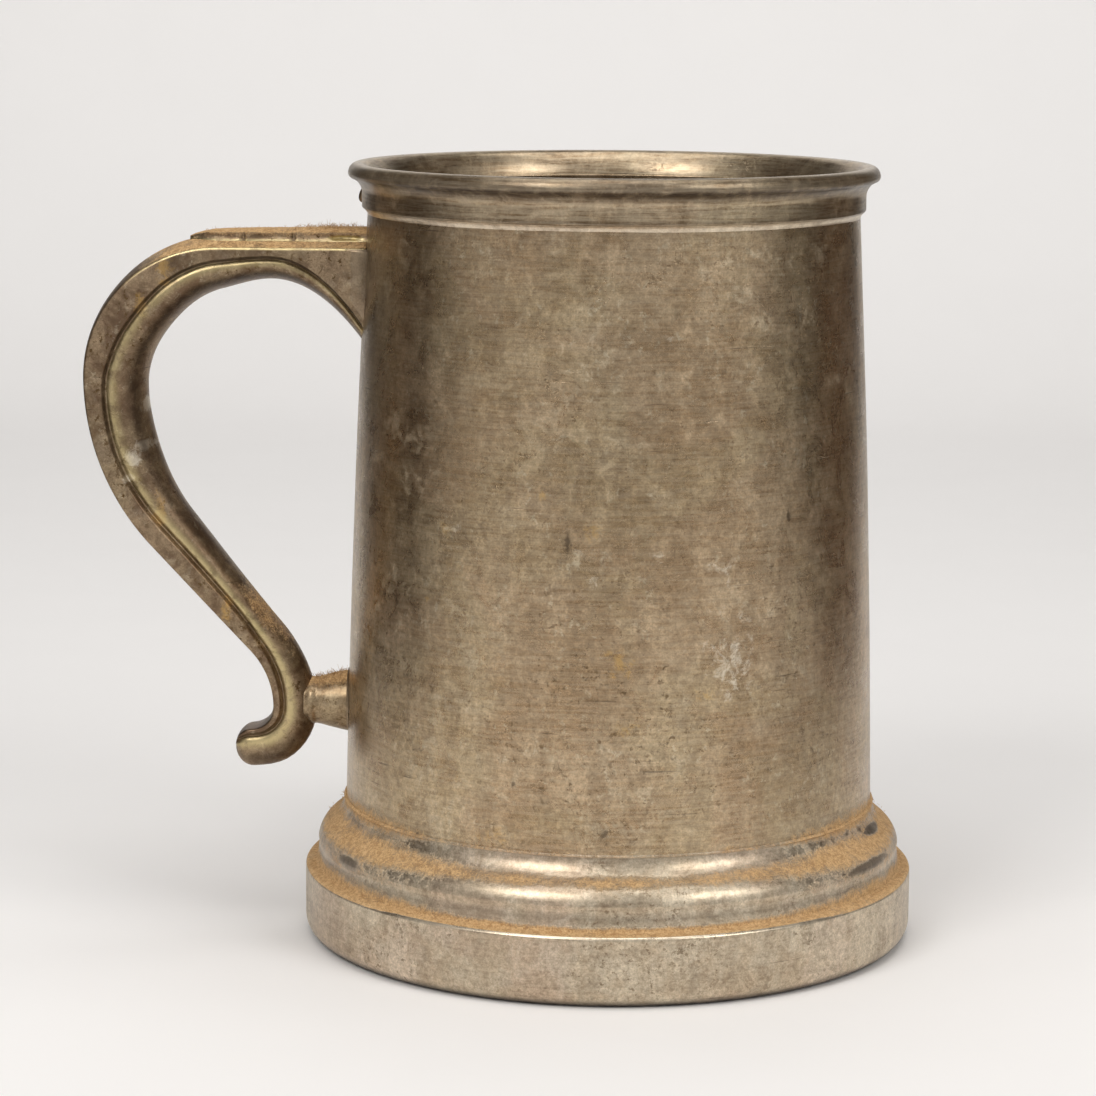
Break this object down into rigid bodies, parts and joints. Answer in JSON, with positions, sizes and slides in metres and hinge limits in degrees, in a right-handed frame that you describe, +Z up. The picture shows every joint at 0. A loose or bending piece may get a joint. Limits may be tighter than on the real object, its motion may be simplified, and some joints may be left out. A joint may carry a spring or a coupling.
{
  "type": "pewter tankard",
  "caption": "Lidless pewter pint tankard: tapered drum with an applied lip band, moulded foot and cast scroll handle on a short strut.",
  "frame": {"origin": "on the drum's axis, in the plane of the foot's rim, which the tankard stands on", "axes": "+Z up along the drum's axis, out of the mouth; the handle is on the -X side, in the XZ plane"},
  "size_m": [0.1347, 0.0992, 0.125],
  "materials": {
    "pewter_drum": "dull tarnished pewter, fine turning lines",
    "pewter_cast": "dull tarnished cast pewter, dusty ledges",
    "pewter_handle": "dull cast pewter with yellow-green tarnish",
    "solder": "dull grey soft solder"
  },
  "bodies": {
    "root": {"drum": "pewter_drum", "floor_disc": "pewter_drum", "lip_band": "pewter_cast", "foot_moulding": "pewter_cast", "handle": "pewter_handle", "thumb_rest": "pewter_handle", "handle_strut": "pewter_handle", "floor_solder": "solder", "band_solder": "solder", "band_joint_solder": "solder", "foot_solder": "solder", "strut_solder": "solder", "root_solder": "solder"}
  },
  "joints": []
}
